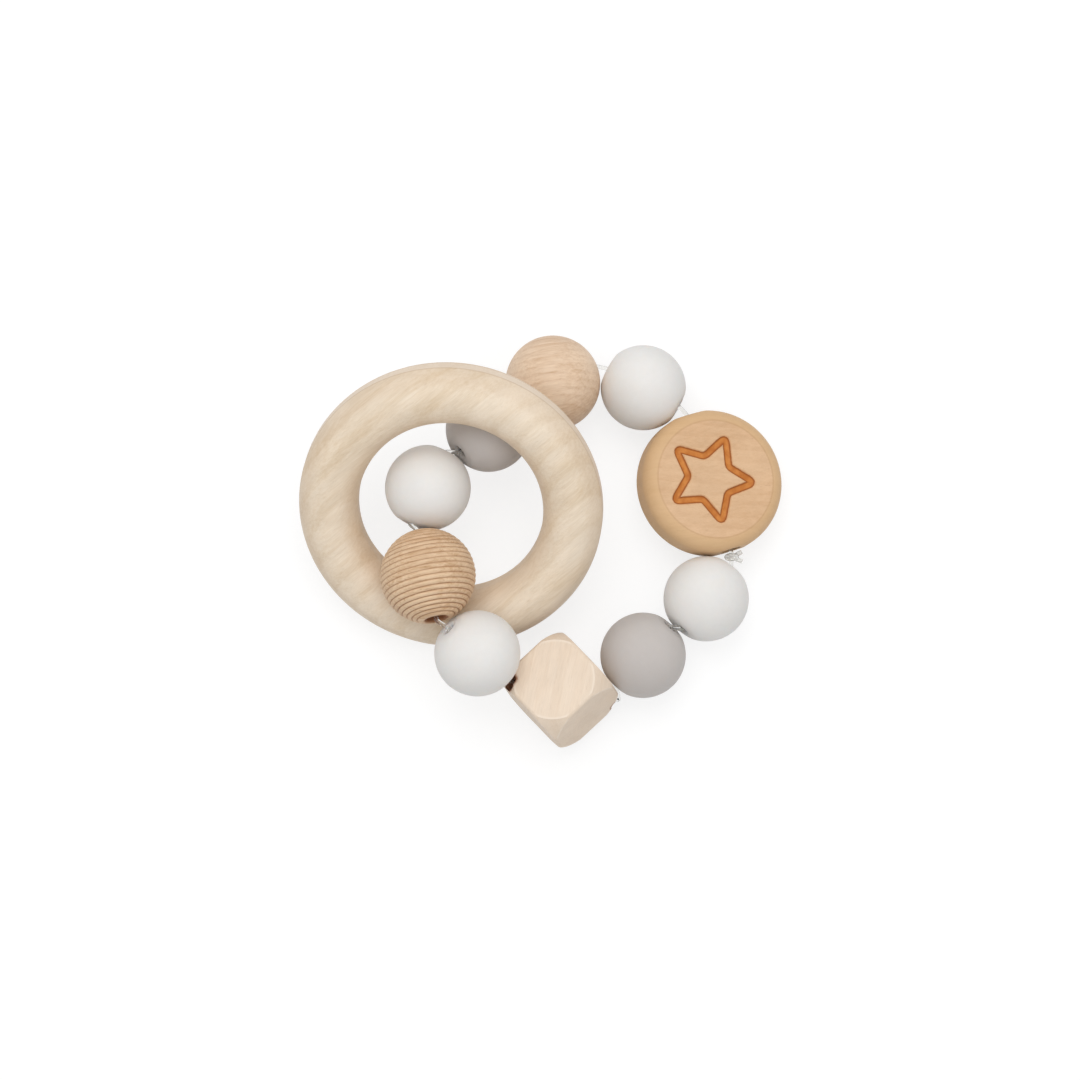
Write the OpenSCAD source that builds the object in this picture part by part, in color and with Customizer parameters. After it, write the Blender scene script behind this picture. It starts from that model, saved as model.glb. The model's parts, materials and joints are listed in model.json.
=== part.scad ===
// Baby rattle: ten wooden and silicone beads strung on a closed elastic cord,
// which passes through a wooden teething ring like a link of a chain.
// Millimetres. +Z is up, the table is the plane z = 0, and the origin lies on the table
// under the middle of the rattle. The rattle lies as it settles when it is put down.

/* [Teething ring] */
// Outside diameter of the wooden ring
ring_d = 70; // [64:0.5:76]
// Thickness of the round rod that the ring is turned to
ring_rod = 13.9; // [12:0.1:15]
// Height of the narrow flat land round the ring, outside and inside
ring_land = 2.8; // [1:0.1:4]
// Angle at which the ring leans over the table
ring_tilt = 31; // [28:0.5:33]

/* [Silicone beads] */
// Diameter of the silicone beads
silicone_d = 19.8; // [18.5:0.1:21]
// Diameter of the flat round each mouth of a silicone bead
silicone_flat = 8; // [5:0.1:9]
// Bore of the silicone beads
silicone_bore = 2.8; // [2.4:0.1:3.6]
// Chamfer round the mouths of the silicone beads
silicone_ease = 0.3; // [0.1:0.05:0.5]

/* [Plain and grooved wooden balls] */
// Diameter of the plain wooden ball
plain_d = 22; // [20:0.1:23]
// Diameter of the flat round each mouth of the plain ball
plain_flat = 6.4; // [6:0.1:8]
// Diameter of the grooved wooden ball
grooved_d = 22; // [20:0.1:23]
// Diameter of the flat round each mouth of the grooved ball
grooved_flat = 7; // [6:0.1:8]
// Angle at which the grooved ball lies askew on the cord, for which its wide bore leaves room
grooved_askew = -9; // [-10:0.5:5]
// Angle from one groove to the next, seen from the middle of the grooved ball
groove_step = 7.1; // [6:0.1:12]
// Width of a groove, which is cut half as deep
groove_w = 0.5; // [0.4:0.05:0.9]

/* [Star disc] */
// Diameter of the wooden disc
disc_d = 33.6; // [30:0.1:36]
// Thickness of the disc
disc_t = 11; // [10:0.1:12]
// Radius to which the rim of the disc is rounded over
disc_round = 3.7; // [2:0.1:4]
// Angle of the crease where the rounded rim meets each face
disc_crease = 12; // [0:0.5:12]
// Width of the small flat on the rim at each end of the disc's bore
disc_flat = 8; // [6:0.1:9]
// Angle to which the disc is tipped on its bore
disc_tip = 15.5; // [12:0.5:20]

/* [Diagonal cube] */
// Width of the wooden cube across its faces
cube_w = 18.5; // [17:0.1:20]
// Diameter of the ball that the cube's corners are turned to
cube_ball = 26.5; // [25.5:0.1:28]
// Radius to which the cube's edges are rounded over
cube_round = 0.9; // [0.5:0.1:1.5]
// Heading of the edge that the cube stands on
cube_turn = 43; // [35:1:50]
// Angle to which the cube is tipped on that edge
cube_tip = 15; // [10:0.5:20]

/* [Bores and cord] */
// Bore of all the wooden pieces
wood_bore = 4.8; // [4:0.1:5.2]
// Chamfer round the mouths of the wooden balls
mouth_ease = 0.7; // [0.5:0.05:0.8]
// Thickness of the elastic cord
cord_d = 1; // [0.8:0.1:1.4]
// Thickness of the knot's turns, where the elastic is pulled tight
knot_d = 1; // [0.8:0.1:1.4]

/* [Clearances] */
// Gap between one bead and the next
bead_gap = 0.15; // [0.1:0.05:0.4]
// Gap between the cube's face and the bead beside it, in which the cube rocks
cube_gap = 0.4; // [0.3:0.05:0.8]
// Gap between the ring and the beads that it touches
ring_gap = 0.35; // [0.25:0.05:0.5]
// Gap between the knot's turns and the cord inside them
knot_gap = 0.12; // [0.08:0.01:0.2]

/* [Hidden] */
$fn = 96;

// ---- Colours
wood_ring = [0.87, 0.79, 0.67];
wood_pale = [0.88, 0.79, 0.66];
wood_warm = [0.86, 0.72, 0.56];
silicone_white = [0.92, 0.90, 0.87];
silicone_grey = [0.75, 0.73, 0.70];
cord_clear = [0.95, 0.94, 0.92];

// ---- The beads in the order in which they are strung
GROOVED = 0;
WHITE_1 = 1;
GREY_1 = 2;
PLAIN = 3;
WHITE_2 = 4;
DISC = 5;
WHITE_3 = 6;
GREY_2 = 7;
CUBE = 8;
WHITE_4 = 9;
beads = 10;

// The disc is a core with a rounded rim. It sweeps disc_sweep as it turns on its bore, and its
// flats lie disc_half from its middle.
disc_core = [disc_d / 2 - disc_round, disc_t / 2 - disc_round * cos(disc_crease)];
disc_sweep = norm(disc_core) + disc_round;
disc_half = sqrt(pow(disc_d, 2) - pow(disc_flat, 2)) / 2;

radius = [
    grooved_d / 2, silicone_d / 2, silicone_d / 2, plain_d / 2, silicone_d / 2,
    disc_sweep, silicone_d / 2, silicone_d / 2, cube_ball / 2, silicone_d / 2
];
// Radius of the flat round each bead's mouths
flat = [
    grooved_flat / 2, silicone_flat / 2, silicone_flat / 2, plain_flat / 2, silicone_flat / 2,
    sqrt(pow(disc_sweep, 2) - pow(disc_half, 2)), silicone_flat / 2, silicone_flat / 2, wood_bore / 2,
    silicone_flat / 2
];
// Half the length of each bead along its bore
half = [for (i = [0 : beads - 1]) sqrt(pow(radius[i], 2) - pow(flat[i], 2))];
// How far outside each mouth the cord bends, which is further where it enters the cube's corner
mouth_bend = 0.15;
bend = [for (i = [0 : beads - 1]) (i == CUBE ? 1 : mouth_bend) * cord_d];
// Length of the string of beads pushed together
string_length = 2 * half * [for (length = half) 1];

// Where each bead is dropped before the string settles, in hundredths of the string's length
drop = string_length / 100 * [
    [-10.8, -5.3, 11.7], [-11, 4.3, 10], [-5.7, 10.8, 8.6], [1.9, 16, 5.3], [11, 15.1, 4.8],
    [17.7, 5.3, 4.3], [17, -6.5, 4.8], [10.8, -12.7, 4.8], [3.1, -15.8, 5.5], [-6.7, -12.7, 10.8]
];

// ---- What each bead rests on
ON_RING = -1;
ON_CORD = -2;
disc_rest = disc_core.x * sin(disc_tip) + disc_core.y * cos(disc_tip) + disc_round;
cube_rest = (cube_w / 2 - cube_round) * (sin(cube_tip) + cos(cube_tip)) + cube_round;
rest = [
    ON_RING, ON_CORD, ON_RING, plain_d / 2, silicone_d / 2,
    disc_rest, silicone_d / 2, silicone_d / 2, cube_rest, ON_RING
];

// ---- The ring: it stands on its low side and leans towards ring_heading
ring_heading = 80.5;
ring_foot = string_length / 100 * [-11.6, -8.65];
land_reach = sqrt(pow(ring_rod, 2) - pow(ring_land, 2)) / 2;
ring_r = ring_d / 2 - land_reach;
ring_up = [-sin(ring_tilt) * cos(ring_heading), -sin(ring_tilt) * sin(ring_heading), cos(ring_tilt)];
ring_rise = [cos(ring_tilt) * cos(ring_heading), cos(ring_tilt) * sin(ring_heading), sin(ring_tilt)];
ring_middle = [ring_foot.x, ring_foot.y, ring_rod / 2] + ring_r * ring_rise;

// ---- The cube: its bore runs from corner to corner, and GREY_2 lies against cube_face
cube_face = [cos(cube_turn), sin(cube_turn), 0];
cube_back = [-cos(cube_tip) * sin(cube_turn), cos(cube_tip) * cos(cube_turn), -sin(cube_tip)];
cube_top = [-sin(cube_tip) * sin(cube_turn), sin(cube_tip) * cos(cube_turn), cos(cube_tip)];
cube_bore = (cube_top + cube_back - cube_face) / sqrt(3);

// ---- How the string settles
settle_steps = 400;
settle_ease = 0.4;

function unit(v) = v / norm(v);
function wrap(i) = (i + beads) % beads;
function level(v) = [v.x, v.y, 0];
function turned(v, a) = [v.x * cos(a) - v.y * sin(a), v.x * sin(a) + v.y * cos(a), v.z];

// Where the cord bends at a mouth of bead i: side -1 is where it enters, 1 where it leaves
function mouth_of(p, bores, i, side) = p[i] + side * (half[i] + bend[i]) * bores[i];

// The taut cord turns each bore into line with the mouths of the beads before and after it
function bore_way(p, bores, i) =
    let (line = mouth_of(p, bores, wrap(i + 1), -1) - mouth_of(p, bores, wrap(i - 1), 1))
    i == CUBE ? cube_bore :
    i == GROOVED ? turned(unit(line), grooved_askew) :
        unit(i == DISC ? level(line) : line);

// How far bead i reaches from its middle along a direction
function reach(bores, i, way) =
    let (
        edge = asin(flat[i] / radius[i]),
        off = acos(min(1, abs(bores[i] * way)))
    )
    off < edge ? radius[i] * cos(edge - off) : radius[i];

// Distance that bead i keeps from bead j along a direction
function link(bores, i, j, way) =
    min(i, j) == GREY_2 && max(i, j) == CUBE ?
        (cube_w / 2 + reach(bores, GREY_2, cube_face) + cube_gap) / abs(way * cube_face) :
    i == CUBE || j == CUBE ?
        radius[CUBE] + reach(bores, i == CUBE ? j : i, way) + bead_gap :
        reach(bores, i, way) + reach(bores, j, way) + bead_gap;

// Move that brings bead i nearer to its distance from bead j
function pull(p, bores, i, j) =
    let (
        line = p[j] - p[i],
        way = unit(line)
    )
    settle_ease * (norm(line) - link(bores, i, j, way)) * way;

// Nearest point of the middle line of the ring's rod
function rod_point(q) =
    let (line = q - ring_middle)
    ring_middle + ring_r * unit(line - (line * ring_up) * ring_up);

function against_ring(q, r) =
    let (near = rod_point(q))
    near + (ring_rod / 2 + r + ring_gap) * unit(q - near);

function beside_ring(q, r) =
    norm(q - rod_point(q)) < ring_rod / 2 + r + ring_gap ? against_ring(q, r) : q;

function seated(q, i) =
    rest[i] == ON_RING ? against_ring(q, radius[i]) :
    rest[i] == ON_CORD ? beside_ring(q, radius[i]) :
        [q.x, q.y, rest[i]];

// Each step turns the bores and moves the beads a little; the result is [places, bores]
function settle(p, bores, steps) =
    steps == 0 ? [p, bores] : settle(
        [
            for (i = [0 : beads - 1])
                seated(p[i] + pull(p, bores, i, wrap(i + 1)) + pull(p, bores, i, wrap(i - 1)), i)
        ],
        [for (i = [0 : beads - 1]) bore_way(p, bores, i)],
        steps - 1
    );

along = [for (i = [0 : beads - 1]) i == CUBE ? cube_bore : unit(drop[wrap(i + 1)] - drop[wrap(i - 1)])];
rested = settle(drop, along, settle_steps);
settled = rested[0];
bore = rested[1];

// ---- The box round the settled rattle, which sets the origin
disc_normal = cos(disc_tip) * [0, 0, 1] + sin(disc_tip) * cross([0, 0, 1], bore[DISC]);
function round_reach(r, across, thick, edge) = r * sqrt(1 - pow(across, 2)) + thick * abs(across) + edge;
function spread(i, axis) =
    i == DISC ?
        round_reach(disc_core.x, disc_normal[axis], disc_core.y, disc_round) :
        radius[i];
ring_spread = [for (axis = [0, 1]) round_reach(ring_r, ring_up[axis], 0, ring_rod / 2)];
// The furthest points of the ring and of each bead on one side (-1 or 1) along an axis
function sides(axis, side) = concat(
    ring_middle[axis] + side * ring_spread[axis],
    [for (i = [0 : beads - 1]) settled[i][axis] + side * spread(i, axis)]
);
middle = [for (axis = [0, 1]) (min(sides(axis, -1)) + max(sides(axis, 1))) / 2];
shift = -[middle.x, middle.y, 0];
place = [for (p = settled) p + shift];
ring_place = ring_middle + shift;

// ---- The cord's route: straight through each bore, then a smooth turn into the next
cord_sides = 8;
bore_steps = 3;
turn_steps = 4;
turn_pace = 0.5;

// The knot's turns lean across each other, and its ends point away from the loop
knot_lean = 20;
knot_along = 0.5;
knot_end_lean = 25;
knot_end = 1.5;

function blend(a, b, t) = a + (b - a) * t;
function mouth(i, side) = mouth_of(place, bore, i, side);
// Cubic curve that leaves point a along u and reaches point b along v
function turn(a, u, b, v, t) =
    let (pace = turn_pace * norm(b - a))
    (2 * t * t * t - 3 * t * t + 1) * a + (t * t * t - 2 * t * t + t) * pace * u
    + (3 * t * t - 2 * t * t * t) * b + (t * t * t - t * t) * pace * v;

route = [
    for (i = [0 : beads - 1])
        for (step = [0 : bore_steps + turn_steps - 1])
            step < bore_steps ?
                blend(mouth(i, -1), mouth(i, 1), step / bore_steps) :
                turn(
                    mouth(i, 1), bore[i], mouth(wrap(i + 1), -1), bore[wrap(i + 1)],
                    (step - bore_steps) / turn_steps
                )
];

// ---- Shared shapes
module strung(i) {
    translate(place[i])
        rotate([0, acos(bore[i].z), atan2(bore[i].y, bore[i].x)])
            children();
}

// A ball's section beside its bore, cut flat at the mouths
module ball_section(d, flat_d, bore_d, ease) {
    half_length = sqrt(pow(d, 2) - pow(flat_d, 2)) / 2;
    difference() {
        intersection() {
            circle(d = d);
            translate([bore_d / 2, -half_length])
                square([d, 2 * half_length]);
        }
        for (side = [-1, 1])
            translate([bore_d / 2, side * half_length])
                rotate(45)
                    square(ease * sqrt(2), center = true);
    }
}

module silicone_bead(i, colour) {
    color(colour)
        strung(i)
            rotate_extrude()
                ball_section(silicone_d, silicone_flat, silicone_bore, silicone_ease);
}

// A square bar with rounded edges
module rounded_bar(w, r, length) {
    linear_extrude(length, center = true) {
        square([w, w - 2 * r], center = true);
        square([w - 2 * r, w], center = true);
        for (x = [-1, 1])
            for (y = [-1, 1])
                translate([x, y] * (w / 2 - r))
                    circle(r);
    }
}

// ---- The pieces
module wooden_ring() {
    color(wood_ring)
        translate(ring_place)
            rotate([0, -ring_tilt, ring_heading])
                rotate_extrude()
                    translate([ring_r, 0])
                        intersection() {
                            circle(d = ring_rod);
                            square([2 * land_reach, ring_rod], center = true);
                        }
}

module grooved_ball() {
    flat_edge = 90 - asin(grooved_flat / grooved_d);
    last_groove = floor((flat_edge - groove_step / 2) / groove_step);
    color(wood_pale)
        strung(GROOVED)
            rotate_extrude()
                difference() {
                    ball_section(grooved_d, grooved_flat, wood_bore, mouth_ease);
                    for (k = [-last_groove : last_groove])
                        rotate(k * groove_step)
                            translate([grooved_d / 2, 0])
                                circle(d = groove_w, $fn = 24);
                }
}

module plain_ball() {
    color(wood_warm)
        strung(PLAIN)
            rotate_extrude()
                ball_section(plain_d, plain_flat, wood_bore, mouth_ease);
}

// The disc's section beside its middle line: its faces cut the rounded rim off at a crease
module disc_section() {
    intersection() {
        translate([0, -disc_t / 2])
            square([disc_d, disc_t]);
        union() {
            translate([0, -disc_t / 2])
                square([disc_core.x, disc_t]);
            translate([0, -disc_core.y])
                square([disc_d / 2, 2 * disc_core.y]);
            for (side = [-1, 1])
                translate([disc_core.x, side * disc_core.y])
                    circle(disc_round);
        }
    }
}

module star_disc() {
    color(wood_warm)
        translate(place[DISC])
            rotate([-disc_tip, 0, atan2(bore[DISC].y, bore[DISC].x)])
                difference() {
                    intersection() {
                        rotate_extrude()
                            disc_section();
                        cube([2 * half[DISC], disc_d, disc_d], center = true);
                    }
                    rotate([0, 90, 0])
                        cylinder(d = wood_bore, h = disc_d, center = true);
                }
}

module diagonal_cube() {
    color(wood_pale)
        translate(place[CUBE])
            rotate([-cube_tip, 0, cube_turn])
                difference() {
                    intersection() {
                        sphere(d = cube_ball);
                        rounded_bar(cube_w, cube_round, cube_w);
                        rotate([90, 0, 0])
                            rounded_bar(cube_w, cube_round, cube_w);
                        rotate([0, 90, 0])
                            rounded_bar(cube_w, cube_round, cube_w);
                    }
                    rotate([0, acos(1 / sqrt(3)), 135])
                        cylinder(d = wood_bore, h = cube_ball, center = true);
                }
}

// A closed tube swept along the route
module elastic_cord() {
    rings = len(route);
    corners = [
        for (k = [0 : rings - 1])
            let (
                way = unit(route[(k + 1) % rings] - route[(k + rings - 1) % rings]),
                side = unit(cross(way, [0, 0, 1])),
                up = cross(side, way)
            )
            for (s = [0 : cord_sides - 1])
                route[k] + cord_d / 2 * (cos(360 * s / cord_sides) * side + sin(360 * s / cord_sides) * up)
    ];
    skin = [
        for (k = [0 : rings - 1])
            for (s = [0 : cord_sides - 1])
                let (
                    a = k * cord_sides + s,
                    b = k * cord_sides + (s + 1) % cord_sides,
                    next = (k + 1) % rings * cord_sides,
                    c = next + (s + 1) % cord_sides,
                    d = next + s
                )
                for (corner = [[a, b, c], [a, c, d]])
                    corner
    ];
    color(cord_clear)
        polyhedron(corners, skin);
}

// The knot that closes the cord: two crossed turns round it and two cut ends, between two beads
module cord_knot() {
    k = DISC * (bore_steps + turn_steps) + bore_steps + 1;
    way = unit(route[k + 1] - route[k]);
    turn_r = (cord_d / 2 + knot_gap + knot_d / 2) / cos(knot_lean);
    color(cord_clear)
        translate(blend(route[k], route[k + 1], knot_along))
            rotate([0, acos(way.z), atan2(way.y, way.x)])
                for (side = [-1, 1]) {
                    rotate([0, side * knot_lean, 0])
                        rotate_extrude()
                            translate([turn_r, 0])
                                circle(d = knot_d, $fn = 32);
                    rotate([side * knot_end_lean, 0, 0])
                        translate([0, turn_r, 0])
                            rotate([-90, 0, 0])
                                cylinder(d = knot_d, h = knot_end, $fn = 32);
                }
}

wooden_ring();
grooved_ball();
silicone_bead(WHITE_1, silicone_white);  // white_bead_1
silicone_bead(GREY_1, silicone_grey);  // grey_bead_1
plain_ball();
silicone_bead(WHITE_2, silicone_white);  // white_bead_2
star_disc();
silicone_bead(WHITE_3, silicone_white);  // white_bead_3
silicone_bead(GREY_2, silicone_grey);  // grey_bead_2
diagonal_cube();
silicone_bead(WHITE_4, silicone_white);  // white_bead_4
elastic_cord();
cord_knot();
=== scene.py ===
# The looks of the baby rattle: turned pale wood, matt silicone, a burnt-in star and clear elastic.
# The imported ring, plain ball, cube and knot keep their shapes and get their materials here. The star
# disc, the grooved ball, the silicone balls and the cord are remade finely on the same sizes and
# places. Lengths here are millimetres and are turned into metres by MM, except where a comment says
# otherwise. +Z is up and the rattle lies on the plane z = 0.

from math import cos, pi, radians, sin, sqrt
import json

import bmesh
import bpy
import numpy as np
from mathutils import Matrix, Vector


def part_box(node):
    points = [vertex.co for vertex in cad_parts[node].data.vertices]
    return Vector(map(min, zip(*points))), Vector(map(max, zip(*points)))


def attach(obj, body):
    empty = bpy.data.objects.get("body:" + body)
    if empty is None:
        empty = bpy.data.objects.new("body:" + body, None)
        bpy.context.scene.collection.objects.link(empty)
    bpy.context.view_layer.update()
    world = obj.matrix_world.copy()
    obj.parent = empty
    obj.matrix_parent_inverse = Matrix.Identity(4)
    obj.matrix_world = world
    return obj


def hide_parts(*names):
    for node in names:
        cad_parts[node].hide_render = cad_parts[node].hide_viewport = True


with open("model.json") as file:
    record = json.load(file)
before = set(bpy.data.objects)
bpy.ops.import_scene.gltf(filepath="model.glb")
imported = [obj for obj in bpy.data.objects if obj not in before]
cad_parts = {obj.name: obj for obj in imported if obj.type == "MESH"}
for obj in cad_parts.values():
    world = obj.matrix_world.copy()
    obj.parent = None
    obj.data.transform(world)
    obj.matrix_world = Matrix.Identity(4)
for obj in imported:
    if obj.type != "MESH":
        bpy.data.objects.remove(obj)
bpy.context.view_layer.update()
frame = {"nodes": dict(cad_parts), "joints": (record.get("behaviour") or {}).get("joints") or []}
MM = 0.001
NODES = frame["nodes"]
JOINTS = {joint["child"]: joint for joint in frame["joints"]}

# The beads in their order on the cord
STRUNG = [
    "grooved_ball", "white_bead_1", "grey_bead_1", "plain_ball", "white_bead_2",
    "star_disc", "white_bead_3", "grey_bead_2", "diagonal_cube", "white_bead_4",
]

# ---------------------------------------------------------------- the rattle's sizes
# A ball's flat is the small flattened end that its bore comes out of. The disc's flat is the same on its
# rim, and as wide as DISC_FLAT_W. The cube has no flat: a ball of CUBE_BALL_R rounds its corners.
WOOD_BORE_R = 2.4
GROOVED_R = 11.0
GROOVED_FLAT_R = 3.5
PLAIN_R = 11.0
PLAIN_FLAT_R = 3.2
SILICONE_R = 9.9
SILICONE_FLAT_R = 4.0
SILICONE_BORE_R = 1.4
DISC_R = 16.8
DISC_HALF_T = 5.5
DISC_FLAT_W = 8.0
CUBE_HALF = 9.25
CUBE_BALL_R = 13.25
CORD_R = 0.5


def middle(body):
    """Where a bead's joint lies: its middle, in millimetres."""
    return Vector(JOINTS[body]["pos_m"]) / MM


def bore_axis(body):
    """The direction in which a bead's bore runs."""
    return Vector(JOINTS[body]["axis"]).normalized()


# ---------------------------------------------------------------- node helpers
class Paint:
    """A material's node tree, built by short calls. Sockets are passed about as values."""

    def __init__(self, name):
        self.material = bpy.data.materials.new(name)
        self.material.use_nodes = True
        self.tree = self.material.node_tree
        self.tree.nodes.clear()
        output = self.add("ShaderNodeOutputMaterial")
        self.shader = self.add("ShaderNodeBsdfPrincipled")
        self.tree.links.new(self.shader.outputs[0], output.inputs["Surface"])

    def add(self, kind, **settings):
        node = self.tree.nodes.new(kind)
        for key, value in settings.items():
            setattr(node, key, value)
        return node

    def put(self, socket, value):
        """Links a socket, or sets a number, a vector or a colour."""
        if isinstance(value, bpy.types.NodeSocket):
            self.tree.links.new(value, socket)
        elif hasattr(socket.default_value, "__len__") and len(socket.default_value) == 4:
            socket.default_value = (*value[:3], 1)
        else:
            socket.default_value = value

    def math(self, operation, a, b=0.0, c=0.0):
        node = self.add("ShaderNodeMath", operation=operation)
        for socket, value in zip(node.inputs, (a, b, c)):
            self.put(socket, value)
        return node.outputs[0]

    def vector(self, operation, a, b=(0, 0, 0)):
        node = self.add("ShaderNodeVectorMath", operation=operation)
        self.put(node.inputs[0], a)
        self.put(node.inputs[1], b)
        return node.outputs["Value" if operation in ("DOT_PRODUCT", "LENGTH") else 0]

    def shade(self, colour, amount):
        """The colour made lighter or darker by a factor, or any vector scaled by it."""
        node = self.add("ShaderNodeVectorMath", operation="SCALE")
        self.put(node.inputs[0], colour)
        self.put(node.inputs["Scale"], amount)
        return node.outputs[0]

    def place(self, origin):
        """The point on the piece, in millimetres from origin, as the piece lies at rest."""
        coordinates = self.add("ShaderNodeTexCoord")
        return self.vector("SUBTRACT", self.shade(coordinates.outputs["Object"], 1 / MM), tuple(origin))

    def turned(self, point, axes):
        """The point's coordinates along three axes."""
        node = self.add("ShaderNodeCombineXYZ")
        for socket, axis in zip(node.inputs, axes):
            self.put(socket, self.along(point, axis))
        return node.outputs[0]

    def along(self, point, axis):
        """How far the point lies along an axis."""
        return self.vector("DOT_PRODUCT", point, tuple(axis))

    def off_axis(self, point, axis):
        """The point's distance from the line through the origin along an axis."""
        square = self.math("POWER", self.vector("LENGTH", point), 2.0)
        lengthwise = self.math("POWER", self.along(point, axis), 2.0)
        return self.math("SQRT", self.math("MAXIMUM", self.math("SUBTRACT", square, lengthwise), 0.0))

    def noise(self, point, scale, detail=2.0, roughness=0.5, stretch=(1, 1, 1)):
        """Smooth noise from 0 to 1. Scale is in waves per millimetre."""
        node = self.add("ShaderNodeTexNoise")
        self.put(node.inputs["Vector"], self.vector("MULTIPLY", point, stretch))
        self.put(node.inputs["Scale"], scale)
        self.put(node.inputs["Detail"], detail)
        self.put(node.inputs["Roughness"], roughness)
        return node.outputs[0]

    def ramp(self, value, low, high, to_low=0.0, to_high=1.0):
        """Value from low to high becomes to_low to to_high, smoothly, and stays there beyond."""
        node = self.add("ShaderNodeMapRange", interpolation_type="SMOOTHSTEP")
        for socket, number in zip(node.inputs, (value, low, high, to_low, to_high)):
            self.put(socket, number)
        return node.outputs[0]

    def mix(self, factor, a, b):
        """Colour a where factor is 0, and colour b where it is 1."""
        node = self.add("ShaderNodeMix", data_type="RGBA")
        self.put(node.inputs[0], factor)
        self.put(node.inputs[6], a)
        self.put(node.inputs[7], b)
        return node.outputs[2]

    def bump(self, height, distance, normal=None):
        """Height from 0 to 1 raises the surface by up to distance millimetres."""
        node = self.add("ShaderNodeBump")
        self.put(node.inputs["Height"], height)
        node.inputs["Distance"].default_value = distance * MM
        node.inputs["Strength"].default_value = 1.0
        if normal is not None:
            self.put(node.inputs["Normal"], normal)
        return node.outputs[0]

    def finish(self, **inputs):
        """Sets or links the shader's inputs, named with _ for a space."""
        for name, value in inputs.items():
            self.put(self.shader.inputs[name.replace("_", " ")], value)
        return self.material


def srgb(red, green, blue):
    """A colour from 0 to 255 as it shows on a screen, in the renderer's linear values."""
    return tuple(
        c / 12.92 if c <= 0.04045 else ((c + 0.055) / 1.055) ** 2.4
        for c in (red / 255, green / 255, blue / 255)
    )


# ---------------------------------------------------------------- wood
# Brown of the painted shade in grooves and bores
SHADE_BROWN = srgb(138, 78, 36)


def grain_axes(heading, rise):
    """Axes along the fibres, across them and through the board, from the fibres' heading and rise."""
    h, r = radians(heading), radians(rise)
    along = Vector((cos(h) * cos(r), sin(h) * cos(r), sin(r)))
    across = Vector((-sin(h), cos(h), 0))
    return along, across, along.cross(across)


def wood(name, origin, axes, light, dark, pith, layer, wander, layers, flecks, tone, fibres, roughness,
         painted_shade=None, marks_and_painted_shade=None):
    """Bare sanded wood. The fibres run along axes[0], and the year's layers, each layer thick, curve
    round the pith, which lies at pith in those axes, and stray by up to wander. layers, flecks, tone and
    fibres say how strongly each shows. The colour hook adds a piece's own marks, on the ring and the disc
    with painted shade, and the shade hook darkens grooves and bores with brown painted shade."""
    paint = Paint(name)
    place = paint.place(origin)
    point = paint.turned(place, axes)
    drift = paint.noise(point, 0.09, 2.0, stretch=(0.25, 1, 1))
    ripple = paint.noise(point, 0.5, 3.0, stretch=(0.12, 1, 1))

    # The year's layers: distance from the pith, bent a little, with a soft early side and a firm late edge
    off_pith = paint.vector("MULTIPLY", paint.vector("SUBTRACT", point, pith), (0, 1, 1))
    distance = paint.vector("LENGTH", off_pith)
    bent = paint.math("MULTIPLY_ADD", drift, wander, distance)
    bent = paint.math("MULTIPLY_ADD", ripple, 1.1, bent)
    year = paint.math("FRACT", paint.math("DIVIDE", bent, layer))
    late = paint.math("MULTIPLY", paint.ramp(year, 0.25, 0.85), paint.ramp(year, 0.9, 1.0, 1.0, 0.0))

    # Fine fibres, short dark pores and pale shimmer
    streak = paint.noise(point, 1.7, 4.0, 0.65, stretch=(0.07, 1, 1))
    fine = paint.noise(point, 7.0, 2.0, 0.6, stretch=(0.05, 1, 1))
    pore = paint.ramp(paint.noise(point, 3.4, 1.0, stretch=(0.16, 1, 1)), 0.68, 0.76)
    cloud = paint.noise(point, 0.07, 2.0, stretch=(0.6, 1, 1))
    shimmer = paint.noise(point, 0.22, 2.0, stretch=(0.5, 1.3, 1))

    # Colour: from light to dark by layers, fibres and broad tone, then shimmer, pores, a piece's own marks
    # and painted shade
    amount = paint.math("MULTIPLY", late, layers)
    amount = paint.math("MULTIPLY_ADD", paint.math("SUBTRACT", streak, 0.5), fibres, amount)
    amount = paint.math("MULTIPLY_ADD", paint.ramp(cloud, 0.3, 0.7, -0.5, 0.5), tone, amount)
    amount = paint.math("ADD", amount, 0.3)
    colour = paint.mix(paint.ramp(amount, 0.0, 1.0), light, dark)
    colour = paint.shade(colour, paint.ramp(shimmer, 0.3, 0.7, 0.975, 1.03))
    colour = paint.shade(colour, paint.ramp(fine, 0.3, 0.75, 1.02, 0.955))
    deep = tuple(c * s for c, s in zip(dark, (0.62, 0.5, 0.4)))
    colour = paint.mix(paint.math("MULTIPLY", pore, flecks), colour, deep)
    # A piece's own marks, and on the ring and the disc painted shade too
    if marks_and_painted_shade:
        colour = marks_and_painted_shade(paint, place, colour)
    # Brown painted shade in grooves and bores
    if painted_shade:
        colour = paint.mix(painted_shade(paint, place), colour, SHADE_BROWN)

    # Gloss and relief
    rough = paint.math("MULTIPLY_ADD", streak, 0.12, roughness - 0.06)
    rough = paint.math("MULTIPLY_ADD", late, -0.05, rough)
    height = paint.math("SUBTRACT", fine, paint.math("MULTIPLY", pore, 1.5))
    normal = paint.bump(height, 0.018, paint.bump(streak, 0.03))
    return paint.finish(
        Base_Color=colour, Roughness=rough, Normal=normal, IOR=1.45,
        Specular_IOR_Level=0.32, Sheen_Weight=0.04, Sheen_Roughness=0.5,
    )


def mouth_shade(body, spread):
    """Painted shade: brown in a drilled bore, fading out over spread round its mouth."""
    # Painted shade: brown over the bore's wall and round its mouth
    def burn(paint, place):
        off_axis = paint.off_axis(place, bore_axis(body))
        rough_edge = paint.math("MULTIPLY_ADD", paint.noise(place, 1.4, 2.0), 0.5, off_axis)
        return paint.ramp(rough_edge, WOOD_BORE_R + 0.2, WOOD_BORE_R + 0.25 + spread, 0.9, 0.0)
    return burn


def set_material(node, material):
    """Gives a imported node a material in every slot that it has."""
    for index in range(len(NODES[node].data.materials)):
        NODES[node].material_slots[index].material = material


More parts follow.
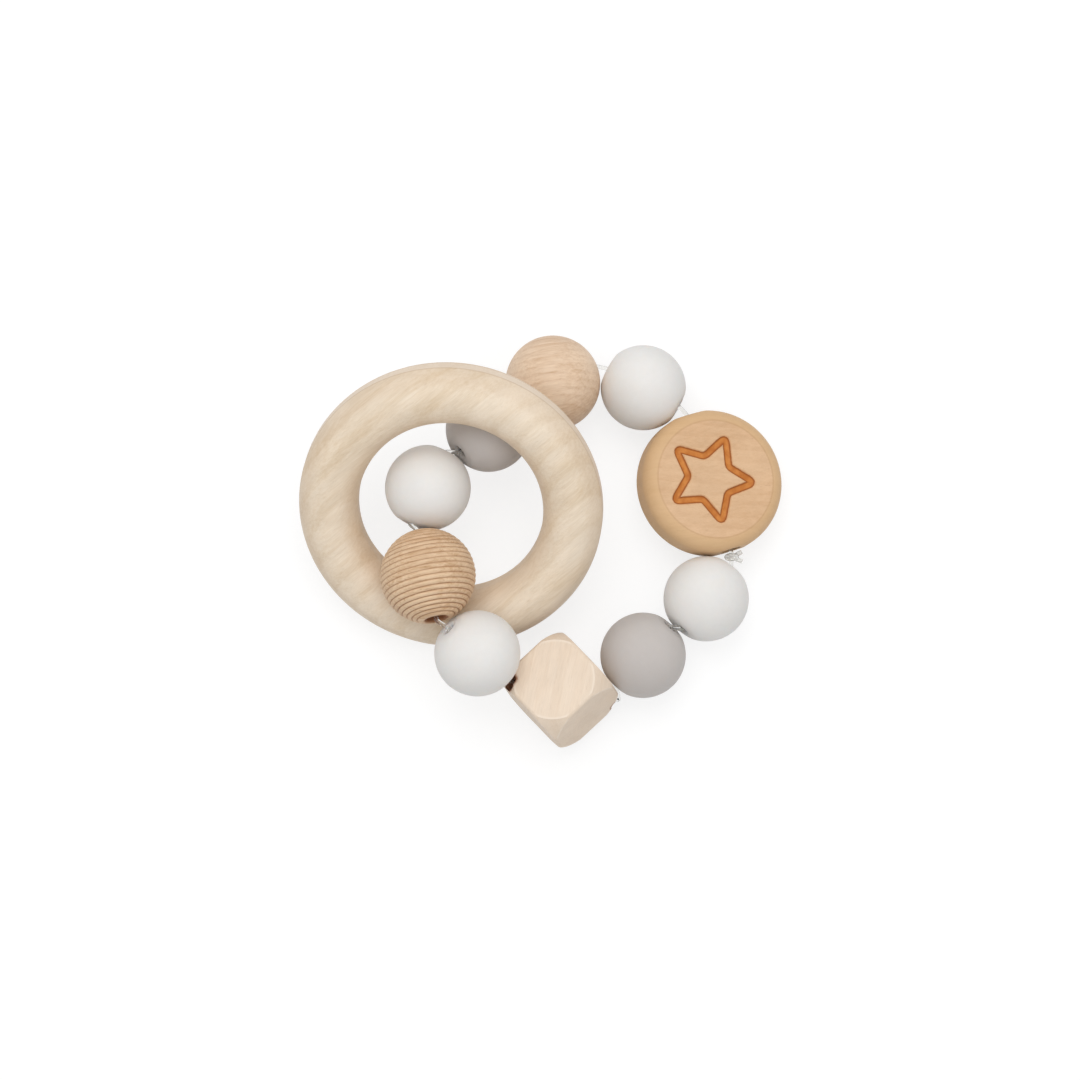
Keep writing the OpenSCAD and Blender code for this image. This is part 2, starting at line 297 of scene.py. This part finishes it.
# ---------------------------------------------------------------- new pieces
def new_piece(name, vertices, faces, body, replaced):
    """A closed mesh of points in metres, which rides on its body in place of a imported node."""
    mesh = bpy.data.meshes.new(name)
    mesh.from_pydata(vertices, [], faces)
    shell = bmesh.new()
    shell.from_mesh(mesh)
    bmesh.ops.recalc_face_normals(shell, faces=shell.faces)
    shell.to_mesh(mesh)
    shell.free()
    piece = bpy.data.objects.new(name, mesh)
    bpy.context.scene.collection.objects.link(piece)
    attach(piece, body)
    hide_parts(replaced)
    return piece


def ring_faces(rings, sides):
    """Four-cornered faces between rings of points that follow each other, the last meeting the first."""
    faces = []
    for row in range(rings):
        here, there = row * sides, (row + 1) % rings * sides
        for k in range(sides):
            after = (k + 1) % sides
            faces.append((here + k, here + after, there + after, there + k))
    return faces


# ---------------------------------------------------------------- bored balls
BALL_SIDES = 96
BALL_STEPS = 40
END_STEPS = 14
LIP_STEPS = 8
MOUTH_ROUND = 0.7
SILICONE_CROWN = 0.45
SOFTENING_PASSES = 8


def mouth_profile(ball_r, flat_r, bore_r, crown):
    """From the edge of a ball's flat end into its bore. A crown of 1 keeps the ball's own curve."""
    flat = sqrt(ball_r ** 2 - flat_r ** 2)
    end = [
        (r, flat + crown * (sqrt(ball_r ** 2 - r ** 2) - flat))
        for r in np.linspace(flat_r, bore_r + MOUTH_ROUND, END_STEPS)[1:]
    ]
    top = end[-1][1]
    return end + [
        (bore_r + MOUTH_ROUND * (1 - sin(a)), top - MOUTH_ROUND * (1 - cos(a)))
        for a in np.linspace(0, pi / 2, LIP_STEPS)[1:]
    ]


def silicone_half_profile():
    """From the widest circle to the mouth: distance from the bore's line, and place along it. The ends
    are pressed flatter than the ball, and all edges are soft."""
    rim_angle = np.arccos(SILICONE_FLAT_R / SILICONE_R)
    ball = [(SILICONE_R * cos(a), SILICONE_R * sin(a)) for a in np.linspace(0, rim_angle, BALL_STEPS)]
    end = mouth_profile(SILICONE_R, SILICONE_FLAT_R, SILICONE_BORE_R, SILICONE_CROWN)
    points = np.array(ball + end)
    for _ in range(SOFTENING_PASSES):
        points[1:-1] = (points[:-2] + 2 * points[1:-1] + points[2:]) / 4
    return points


GROOVE_STEP = radians(6.6)
GROOVE_DEPTH = 0.36
GROOVE_SAMPLES = 12
RIDGE_POWER = 0.7


def grooved_half_profile():
    """Narrow grooves at even angles over the ball, with a round ridge between each two."""
    rim_angle = np.arccos(GROOVED_FLAT_R / GROOVED_R)
    last_groove = int((rim_angle - GROOVE_STEP / 2) / GROOVE_STEP)
    ball = []
    for k in range(GROOVE_SAMPLES * last_groove + GROOVE_SAMPLES // 2 + 1):
        turn = k / GROOVE_SAMPLES
        a = turn * GROOVE_STEP
        r = GROOVED_R - GROOVE_DEPTH * (1 - abs(sin(turn * pi)) ** RIDGE_POWER)
        ball.append((r * cos(a), r * sin(a)))
    ball.append((GROOVED_R * cos(rim_angle), GROOVED_R * sin(rim_angle)))
    return np.array(ball + mouth_profile(GROOVED_R, GROOVED_FLAT_R, WOOD_BORE_R, 0))


def make_ball(body, name, half, material):
    """Turns half a profile and its mirror image about a bead's bore."""
    profile = np.vstack([half, half[:0:-1] * (1, -1)])
    profile = np.roll(profile, len(half) - 1, axis=0)
    along = np.array(bore_axis(body))
    side = np.cross(along, (0, 0, 1))
    side /= np.linalg.norm(side)
    up = np.cross(side, along)
    angles = np.linspace(0, 2 * pi, BALL_SIDES, endpoint=False)
    around = np.cos(angles)[:, None] * side + np.sin(angles)[:, None] * up
    rings = profile[:, 0, None, None] * around + profile[:, 1, None, None] * along
    vertices = (rings.reshape(-1, 3) + np.array(middle(body))) * MM
    piece = new_piece(name, vertices.tolist(), ring_faces(len(profile), BALL_SIDES), body, body)
    piece.data.shade_smooth()
    piece.data.materials.append(material)


# ---------------------------------------------------------------- silicone
# A ball's noise is moved by this times its number on the cord, so that no two show the same marks.
SEED_STRIDE = (37.0, 11.0, 5.0)


def silicone(name, body, colour, seed):
    """Matt moulded silicone: soft light under the skin, a very fine grain, faint mottling and dust."""
    paint = Paint(name)
    place = paint.vector("ADD", paint.place(middle(body)), tuple(seed * s for s in SEED_STRIDE))
    cloud = paint.noise(place, 0.09, 2.0)
    mottle = paint.noise(place, 0.8, 3.0)
    grain = paint.noise(place, 6.0, 3.0, 0.6)
    dust = paint.ramp(paint.noise(place, 2.2, 1.0), 0.77, 0.82)
    tint = paint.shade(colour, paint.ramp(cloud, 0.3, 0.7, 0.985, 1.015))
    tint = paint.shade(tint, paint.ramp(mottle, 0.3, 0.7, 0.992, 1.006))
    tint = paint.mix(paint.math("MULTIPLY", dust, 0.12), tint, tuple(c * 0.8 for c in colour))
    rough = paint.math("MULTIPLY_ADD", mottle, 0.12, 0.5)
    normal = paint.bump(grain, 0.012, paint.bump(mottle, 0.02))
    return paint.finish(
        Base_Color=tint, Roughness=rough, Normal=normal, IOR=1.41, Specular_IOR_Level=0.3,
        Subsurface_Weight=0.25, Subsurface_Radius=(1.0, 0.75, 0.6), Subsurface_Scale=1.4 * MM,
        Sheen_Weight=0.05, Sheen_Roughness=0.45,
    )


# ---------------------------------------------------------------- the star disc
DISC_TIP = radians(15.5)
RIM_ROUND = 3.7
RIM_CREASE = radians(12)
CREASE_R = DISC_R - RIM_ROUND * (1 - sin(RIM_CREASE))
# Distances from the disc's middle over which the rim's own colour fades in
RIM_FADE = (13.5, 14.4)
DISC_SIDES = 400
UPPER_RINGS = 100
LOWER_RINGS = 12
ROUND_STEPS = 14
BORE_SIDES = 64
SHARP_ANGLE = radians(32)

STAR_POINTS = 5
STAR_TIP_R = 10.6
STAR_NOTCH_R = 5.3
# How far from a tip or a notch its rounding begins
STAR_TIP_CUT = 1.7
STAR_NOTCH_CUT = 0.8
STAR_LINE = 2.0
STAR_DEPTH = 0.55
STAR_TURN = radians(-2.9)
STAR_OFF = (-0.5, -1.1)
CORNER_STEPS = 6
# How far from the star's line the disc's burn attribute still tells the distance
BURN_REACH = 3.0


def star_line():
    """The star's centre line about its own middle, each corner rounded by a small curve."""
    corners = [
        (STAR_TIP_R if k % 2 == 0 else STAR_NOTCH_R, STAR_TURN + k * pi / STAR_POINTS)
        for k in range(2 * STAR_POINTS)
    ]
    points = np.array([(r * cos(a), r * sin(a)) for r, a in corners])
    line = []
    for k, here in enumerate(points):
        before, after = points[k - 1], points[(k + 1) % len(points)]
        cut = STAR_TIP_CUT if k % 2 == 0 else STAR_NOTCH_CUT
        start = here + (before - here) / np.linalg.norm(before - here) * cut
        stop = here + (after - here) / np.linalg.norm(after - here) * cut
        for t in np.linspace(0, 1, CORNER_STEPS):
            line.append((1 - t) ** 2 * start + 2 * t * (1 - t) * here + t * t * stop)
    return np.array(line)


def distance_to_line(points, line):
    """Each point's distance to a closed line."""
    nearest = np.full(len(points), np.inf)
    for a, b in zip(line, np.roll(line, -1, axis=0)):
        way = b - a
        t = np.clip(((points - a) @ way) / (way @ way), 0, 1)
        nearest = np.minimum(nearest, np.linalg.norm(points - (a + t[:, None] * way), axis=1))
    return nearest


def disc_profile():
    """Radius and height from the middle of the upper face, over the rim, to the middle of the lower."""
    core_r, core_h = DISC_R - RIM_ROUND, DISC_HALF_T - RIM_ROUND * cos(RIM_CREASE)
    arc = []
    for step in range(ROUND_STEPS + 1):
        a = RIM_CREASE + (pi / 2 - RIM_CREASE) * step / ROUND_STEPS
        arc.append((core_r + RIM_ROUND * sin(a), core_h + RIM_ROUND * cos(a)))
    face_r = arc[0][0]
    upper = [(face_r * k / UPPER_RINGS, DISC_HALF_T) for k in range(1, UPPER_RINGS)]
    lower_arc = [(r, -h) for r, h in reversed(arc)]
    lower = [(face_r * k / LOWER_RINGS, -DISC_HALF_T) for k in range(LOWER_RINGS - 1, 0, -1)]
    return upper + arc + [(DISC_R, 0.0)] + lower_arc + lower


def disc_axes():
    """The disc's own axes: along its bore, across its face, and out of its upper face."""
    along = bore_axis("star_disc")
    across = Vector((0, 0, 1)).cross(along).normalized()
    normal = cos(DISC_TIP) * Vector((0, 0, 1)) + sin(DISC_TIP) * across
    return along, normal.cross(along).normalized(), normal.normalized()


def make_disc():
    """The wooden disc with its star engraved, its two ends flattened and its bore drilled."""
    profile = disc_profile()
    angles = np.linspace(0, 2 * pi, DISC_SIDES, endpoint=False)
    rings = np.array([[(r * cos(a), r * sin(a), h) for a in angles] for r, h in profile])
    points = np.vstack([[[0, 0, DISC_HALF_T]], rings.reshape(-1, 3), [[0, 0, -DISC_HALF_T]]])

    # The engraved star: a round-bottomed groove along its centre line, and a flat at each mouth
    gap = distance_to_line(points[:, :2] - np.array(STAR_OFF), star_line())
    on_face = points[:, 2] > DISC_HALF_T - 1e-6
    inside = np.clip(1 - gap / (STAR_LINE / 2), 0, 1) * on_face
    points[:, 2] -= STAR_DEPTH * np.sqrt(1 - (1 - inside) ** 2) * on_face
    half_length = sqrt(DISC_R ** 2 - (DISC_FLAT_W / 2) ** 2)
    points[:, 0] = np.clip(points[:, 0], -half_length, half_length)

    axes = np.array([tuple(axis) for axis in disc_axes()])
    centre = np.array(middle("star_disc"))
    vertices = ((centre + points @ axes) * MM).tolist()

    # A fan of faces round the middle of each face, and rings of faces between
    n, last = DISC_SIDES, len(points) - 1
    faces = [(0, 1 + k, 1 + (k + 1) % n) for k in range(n)]
    for here in range(1, last - n, n):
        there = here + n
        faces += [(here + k, there + k, there + (k + 1) % n, here + (k + 1) % n) for k in range(n)]
    faces += [(last, last - n + (k + 1) % n, last - n + k) for k in range(n)]

    disc = new_piece("engraved_disc", vertices, faces, "star_disc", "star_disc")
    burn = disc.data.attributes.new("burn", "FLOAT", "POINT")
    burn.data.foreach_set("value", (np.maximum(BURN_REACH - gap, 0) * on_face).astype(np.float32))
    drill(disc, centre, axes[0])
    crease_rim(disc, centre, axes[2])
    return disc


def drill(piece, centre, along):
    """Cuts the through bore with a boolean, and applies it."""
    bpy.ops.mesh.primitive_cylinder_add(vertices=BORE_SIDES, radius=WOOD_BORE_R * MM, depth=3 * DISC_R * MM)
    bit = bpy.context.object
    bit.rotation_euler = Vector(along).to_track_quat("Z", "Y").to_euler()
    bit.location = Vector(centre) * MM
    cut = piece.modifiers.new("bore", "BOOLEAN")
    cut.operation, cut.solver, cut.object = "DIFFERENCE", "EXACT", bit
    bpy.context.view_layer.objects.active = piece
    bpy.ops.object.modifier_apply(modifier=cut.name)
    bpy.data.objects.remove(bit)
    piece.data.shade_smooth()
    piece.data.set_sharp_from_angle(angle=SHARP_ANGLE)


def crease_rim(disc, centre, normal):
    """Keeps the edge between each flat face and the rounded rim crisp."""
    mesh = disc.data
    points = np.array([v.co for v in mesh.vertices]) / MM - centre
    height = points @ normal
    radius = np.linalg.norm(points - height[:, None] * normal, axis=1)
    on_crease = (abs(radius - CREASE_R) < 0.01) & (abs(abs(height) - DISC_HALF_T) < 0.01)
    for edge in mesh.edges:
        if all(on_crease[v] for v in edge.vertices):
            edge.use_edge_sharp = True


def disc_colours_and_shade(paint, place, colour):
    """The rim's yellower end grain, painted shade as a fine dark line at the crease, and the star's
    scorched line, which lies in a faint warm halo and has painted shade darkening it towards its edges."""
    radius = paint.off_axis(place, disc_axes()[2])
    rim = paint.ramp(radius, *RIM_FADE)
    colour = paint.mix(paint.math("MULTIPLY", rim, 0.55), colour, srgb(211, 175, 128))
    # Painted shade: a fine dark line along the crease
    off_crease = paint.math("ABSOLUTE", paint.math("SUBTRACT", radius, CREASE_R))
    colour = paint.mix(paint.ramp(off_crease, 0.05, 0.3, 0.3, 0.0), colour, srgb(176, 134, 90))

    # The distance from the star's centre line, made uneven
    attribute = paint.add("ShaderNodeAttribute", attribute_name="burn")
    gap = paint.math("SUBTRACT", BURN_REACH, attribute.outputs["Fac"])
    wobble = paint.noise(place, 1.1, 3.0)
    gap = paint.math("MULTIPLY_ADD", wobble, 0.16, paint.math("SUBTRACT", gap, 0.08))
    colour = paint.mix(paint.ramp(gap, 0.85, 1.5, 0.28, 0.0), colour, srgb(228, 176, 122))
    blotch = paint.ramp(paint.noise(place, 0.6, 3.0), 0.3, 0.7)
    scorch_and_shade = paint.mix(blotch, srgb(206, 132, 62), srgb(184, 108, 42))
    # Painted shade: the burnt line darker towards its edges
    scorch_and_shade = paint.mix(paint.ramp(gap, 0.35, 0.8), scorch_and_shade, srgb(152, 82, 26))
    return paint.mix(paint.ramp(gap, 0.8, 0.95, 1.0, 0.0), colour, scorch_and_shade)


# ---------------------------------------------------------------- the cord
CORD_SIDES = 20
BORE_STEPS = 8
TURN_STEPS = 8
# A bead's outer radius, and how far its mouth's edge is from the bore's line. The two give its length
# along the bore.
SPAN = {
    "grooved_ball": (GROOVED_R, GROOVED_FLAT_R),
    "plain_ball": (PLAIN_R, PLAIN_FLAT_R),
    "diagonal_cube": (CUBE_BALL_R, WOOD_BORE_R),
    "star_disc": (DISC_R, DISC_FLAT_W / 2),
}
SILICONE_SPAN = (SILICONE_R, SILICONE_FLAT_R)
# How far outside a mouth the cord begins to turn, where it enters (-1) and leaves (1). Where two
# mouths face well apart the turn begins inside them, because the bores are wider than the cord.
MOUTH_BEND = 0.15
BEND = {
    ("diagonal_cube", -1): 1.6,
    ("diagonal_cube", 1): 1.0,
    ("grey_bead_1", 1): -0.5,
    ("plain_ball", -1): -0.8,
}
# The share of the way between two mouths that sets how widely the cord swings there
TURN_PACE = 0.35


def turn_point(body, side):
    """Where the cord begins to turn at a mouth."""
    widest, at_mouth = SPAN.get(body, SILICONE_SPAN)
    reach = sqrt(widest ** 2 - at_mouth ** 2) + BEND.get((body, side), MOUTH_BEND)
    return middle(body) + side * bore_axis(body) * reach


def cord_route():
    """Straight through each bore, then a smooth turn into the next bead."""
    points = []
    for body, following in zip(STRUNG, STRUNG[1:] + STRUNG[:1]):
        inside = turn_point(body, -1)
        a = turn_point(body, 1)
        b = turn_point(following, -1)
        points += [inside.lerp(a, step / BORE_STEPS) for step in range(BORE_STEPS)]
        pace = TURN_PACE * (b - a).length
        u, v = bore_axis(body) * pace, bore_axis(following) * pace
        for step in range(TURN_STEPS):
            t = step / TURN_STEPS
            points.append(
                (2 * t ** 3 - 3 * t ** 2 + 1) * a + (t ** 3 - 2 * t ** 2 + t) * u
                + (3 * t ** 2 - 2 * t ** 3) * b + (t ** 3 - t ** 2) * v
            )
    return points


def make_cord():
    """A closed tube along the route."""
    route = cord_route()
    vertices = []
    for k, point in enumerate(route):
        way = (route[(k + 1) % len(route)] - route[k - 1]).normalized()
        side = way.cross(Vector((0, 0, 1))).normalized()
        up = side.cross(way)
        for s in range(CORD_SIDES):
            a = 2 * pi * s / CORD_SIDES
            vertices.append((point + CORD_R * (cos(a) * side + sin(a) * up)) * MM)
    faces = ring_faces(len(route), CORD_SIDES)
    cord = new_piece("elastic_strand", vertices, faces, "string", "elastic_cord")
    cord.data.shade_smooth()
    return cord


def elastic(name, clearness):
    """Clear stretch cord with a finely uneven surface. Less clearness makes it milkier."""
    paint = Paint(name)
    place = paint.place((0, 0, 0))
    cloud = paint.noise(place, 0.5, 2.0)
    fine = paint.noise(place, 5.0, 2.0)
    tint = paint.mix(paint.ramp(cloud, 0.3, 0.7), srgb(252, 252, 250), srgb(244, 243, 240))
    rough = paint.math("MULTIPLY_ADD", fine, 0.15, 0.1)
    return paint.finish(
        Base_Color=tint, Roughness=rough, Normal=paint.bump(fine, 0.02), IOR=1.25, Specular_IOR_Level=0.3,
        Transmission_Weight=clearness,
    )


# ---------------------------------------------------------------- colours and painted shade of single pieces
# The ring leans on the beads: it rises by RING_TILT toward RING_HEADING, and RING_UP is square to it.
RING_TILT = radians(31)
RING_HEADING = radians(80.5)
RING_UP = Vector((
    -sin(RING_TILT) * cos(RING_HEADING),
    -sin(RING_TILT) * sin(RING_HEADING),
    cos(RING_TILT),
))
# Distances from the ring's middle over which the painted warm shade on its inner side fades out, and the
# painted warm shade on its outer side and its narrow flat band's paler colour fade in
INNER_SHADE = (22.0, 25.5)
OUTER_SHADE = (31.0, 33.5)
LAND_START = (33.6, 34.3)
LAND_HALF_W = 1.4


def ring_middle():
    low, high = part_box("wooden_ring")
    return (low + high) / 2 / MM


def ring_colours_and_shade(paint, place, colour):
    """Painted shade makes the ring's inner and outer sides warmer and darker. The narrow flat band round it
    is paler, with painted shade as a fine dark line where it meets the round."""
    height = paint.math("ABSOLUTE", paint.along(place, RING_UP))
    radius = paint.off_axis(place, RING_UP)
    # Painted shade: warmer and darker towards the inner and the outer side
    colour = paint.mix(paint.ramp(radius, *INNER_SHADE, 0.24, 0.0), colour, srgb(204, 164, 116))
    colour = paint.mix(paint.ramp(radius, *OUTER_SHADE, 0.0, 0.2), colour, srgb(190, 158, 124))
    outside = paint.ramp(radius, *LAND_START)
    band = paint.ramp(height, LAND_HALF_W - 0.1, LAND_HALF_W + 0.1, 0.4, 0.0)
    colour = paint.mix(paint.math("MULTIPLY", outside, band), colour, srgb(232, 216, 200))
    # Painted shade: a fine dark line where the flat band meets the round
    off_line = paint.math("ABSOLUTE", paint.math("SUBTRACT", height, LAND_HALF_W + 0.05))
    line = paint.ramp(off_line, 0.08, 0.3, 0.4, 0.0)
    return paint.mix(paint.math("MULTIPLY", outside, line), colour, srgb(186, 158, 126))


def groove_shade(paint, place):
    """Painted shade: the wood is darker inside a groove, where the surface lies nearer to the ball's
    middle, more so towards the ends of the bore, and in the bore."""
    body = "grooved_ball"
    lengthwise = paint.math("ABSOLUTE", paint.along(place, bore_axis(body)))
    strength = paint.ramp(lengthwise, 1.0, 8.5, 0.45, 0.8)
    from_middle = paint.vector("LENGTH", place)
    groove = paint.ramp(from_middle, GROOVED_R - GROOVE_DEPTH, GROOVED_R - 0.3 * GROOVE_DEPTH, 1.0, 0.0)
    groove = paint.math("MULTIPLY", groove, strength)
    return paint.math("MAXIMUM", groove, mouth_shade(body, 0.9)(paint, place))


def flat_faces(node):
    """The three directions, square to each other, in which a packed cube's flat faces look."""
    found = []
    for polygon in sorted(NODES[node].data.polygons, key=lambda p: -p.area):
        if all(abs(polygon.normal.dot(other)) < 0.05 for other in found):
            found.append(polygon.normal.copy())
        if len(found) == 3:
            break
    return found


def cube_colours(paint, place, colour):
    """The round edges of the flat faces are rubbed paler."""
    reach = None
    for face in flat_faces("diagonal_cube"):
        height = paint.math("ABSOLUTE", paint.along(place, face))
        reach = height if reach is None else paint.math("MAXIMUM", reach, height)
    on_flat = paint.ramp(reach, CUBE_HALF - 0.06, CUBE_HALF - 0.02)
    worn = paint.ramp(paint.vector("LENGTH", place), CUBE_BALL_R - 0.5, CUBE_BALL_R - 0.1, 0.0, 0.6)
    return paint.mix(paint.math("MULTIPLY", on_flat, worn), colour, srgb(242, 228, 212))


# ---------------------------------------------------------------- the pieces
set_material("wooden_ring", wood(
    "ring_wood_with_painted_shade", ring_middle(), grain_axes(38, 14),
    light=srgb(239, 224, 204), dark=srgb(212, 187, 153),
    pith=(0, 200, -60), layer=5.0, wander=3.0, layers=0.14, flecks=0.1, tone=0.2, fibres=0.75,
    roughness=0.5, marks_and_painted_shade=ring_colours_and_shade,
))
make_ball("grooved_ball", "grooved_ball_turned", grooved_half_profile(), wood(
    "grooved_wood_with_painted_shade", middle("grooved_ball"), grain_axes(8, 5),
    light=srgb(226, 197, 164), dark=srgb(190, 150, 110),
    pith=(0, 90, -45), layer=3.5, wander=5.0, layers=0.15, flecks=0.45, tone=0.3, fibres=1.6,
    roughness=0.6, painted_shade=groove_shade,
))
set_material("plain_ball", wood(
    "plain_wood_with_painted_shade", middle("plain_ball"), grain_axes(8, 4),
    light=srgb(232, 207, 181), dark=srgb(199, 162, 127),
    pith=(0, -120, 22), layer=1.9, wander=2.0, layers=0.13, flecks=0.2, tone=0.3, fibres=1.1,
    roughness=0.52, painted_shade=mouth_shade("plain_ball", 0.8),
))
set_material("diagonal_cube", wood(
    "cube_wood_with_painted_shade", middle("diagonal_cube"), grain_axes(78, -10),
    light=srgb(237, 220, 201), dark=srgb(214, 189, 162),
    pith=(0, 150, -60), layer=4.0, wander=3.0, layers=0.08, flecks=0.1, tone=0.15, fibres=0.45,
    roughness=0.58, painted_shade=mouth_shade("diagonal_cube", 0.5), marks_and_painted_shade=cube_colours,
))
make_disc().data.materials.append(wood(
    "disc_wood_with_painted_shade", middle("star_disc"), grain_axes(4, 3),
    light=srgb(222, 186, 149), dark=srgb(196, 154, 113),
    pith=(0, 160, -40), layer=2.6, wander=2.5, layers=0.1, flecks=0.12, tone=0.22, fibres=0.6,
    roughness=0.6, marks_and_painted_shade=disc_colours_and_shade,
))

SILICONE_COLOURS = {"white": srgb(231, 229, 226), "grey": srgb(196, 190, 186)}
for seed, bead in enumerate(STRUNG):
    shade = bead.split("_")[0]
    if shade in SILICONE_COLOURS:
        material = silicone(bead + "_finish", bead, SILICONE_COLOURS[shade], seed)
        make_ball(bead, bead + "_moulded", silicone_half_profile(), material)

set_material("cord_knot", elastic("knot_finish", clearness=0.6))
make_cord().data.materials.append(elastic("strand_finish", clearness=0.95))

# ---------------------------------------------------------------- camera
VIEW_RISE = radians(84)
VIEW_AWAY = 1500 * MM
VIEW_TARGET = Vector((-0.29, 1.37, 0)) * MM
VIEW_LENS = 214.5
camera_data = bpy.data.cameras.new("camera")
camera_data.sensor_width = 36
camera_data.lens = VIEW_LENS
camera = bpy.data.objects.new("camera", camera_data)
camera.location = VIEW_TARGET + VIEW_AWAY * Vector((0, -cos(VIEW_RISE), sin(VIEW_RISE)))
camera.rotation_euler = (pi / 2 - VIEW_RISE, 0, 0)
bpy.context.scene.collection.objects.link(camera)
bpy.context.scene.camera = camera

# ---------------------------------------------------------------- floor, world and lamps
# FLOOR_HALF is in metres. To the light, the floor is matt and as pale as FLOOR_BOUNCE. The camera sees a
# glow and a weaker matt floor added, which come to white and still show shadows.
FLOOR_HALF = 4.0
FLOOR_BOUNCE = 0.7
FLOOR_SHOWN = 0.28
FLOOR_GLOW = 0.76
WORLD_LIGHT = 0.66
WORLD_SHOWN = 1.0


def seen_by_camera(tree):
    """1 for what the camera sees straight, in a mirror or through glass, and 0 for light on things."""
    path = tree.nodes.new("ShaderNodeLightPath")
    total = path.outputs["Is Camera Ray"]
    for name in ("Is Glossy Ray", "Is Transmission Ray"):
        add = tree.nodes.new("ShaderNodeMath")
        add.operation = "MAXIMUM"
        tree.links.new(total, add.inputs[0])
        tree.links.new(path.outputs[name], add.inputs[1])
        total = add.outputs[0]
    return total


def matt(tree, whiteness):
    """A plain matt shader."""
    shader = tree.nodes.new("ShaderNodeBsdfDiffuse")
    shader.inputs["Color"].default_value = (whiteness, whiteness, whiteness, 1)
    return shader


def floor_material():
    """Matt pale floor, which shows as white where nothing shades it."""
    material = bpy.data.materials.new("floor")
    material.use_nodes = True
    tree = material.node_tree
    tree.nodes.clear()
    glow = tree.nodes.new("ShaderNodeEmission")
    glow.inputs["Strength"].default_value = FLOOR_GLOW
    add = tree.nodes.new("ShaderNodeAddShader")
    tree.links.new(matt(tree, FLOOR_SHOWN).outputs[0], add.inputs[0])
    tree.links.new(glow.outputs[0], add.inputs[1])
    choose = tree.nodes.new("ShaderNodeMixShader")
    tree.links.new(seen_by_camera(tree), choose.inputs["Fac"])
    tree.links.new(matt(tree, FLOOR_BOUNCE).outputs[0], choose.inputs[1])
    tree.links.new(add.outputs[0], choose.inputs[2])
    output = tree.nodes.new("ShaderNodeOutputMaterial")
    tree.links.new(choose.outputs[0], output.inputs["Surface"])
    return material


def make_floor():
    corners = [(x * FLOOR_HALF, y * FLOOR_HALF, 0) for x, y in ((-1, -1), (1, -1), (1, 1), (-1, 1))]
    mesh = bpy.data.meshes.new("floor")
    mesh.from_pydata(corners, [], [(0, 1, 2, 3)])
    floor = bpy.data.objects.new("floor", mesh)
    floor.data.materials.append(floor_material())
    bpy.context.scene.collection.objects.link(floor)


def make_world():
    """Even white light from all round, seen as plain white."""
    world = bpy.data.worlds.new("studio")
    bpy.context.scene.world = world
    world.use_nodes = True
    tree = world.node_tree
    back = tree.nodes["Background"]
    back.inputs["Color"].default_value = (1, 1, 1, 1)
    strength = tree.nodes.new("ShaderNodeMapRange")
    strength.inputs["To Min"].default_value = WORLD_LIGHT
    strength.inputs["To Max"].default_value = WORLD_SHOWN
    tree.links.new(seen_by_camera(tree), strength.inputs["Value"])
    tree.links.new(strength.outputs[0], back.inputs["Strength"])


def lamp(name, place, size, power):
    """A soft square lamp that faces the rattle. Place and size are in metres, power in watts."""
    data = bpy.data.lights.new(name, "AREA")
    data.size = size
    data.energy = power
    light = bpy.data.objects.new(name, data)
    light.location = place
    light.rotation_euler = (-Vector(place)).to_track_quat("-Z", "Y").to_euler()
    bpy.context.scene.collection.objects.link(light)


make_floor()
make_world()
lamp("key", place=(-0.08, 0.42, 1.05), size=0.8, power=5.2)
lamp("fill", place=(0.3, -0.5, 0.9), size=0.9, power=0.8)
bpy.context.scene.view_settings.view_transform = "Standard"
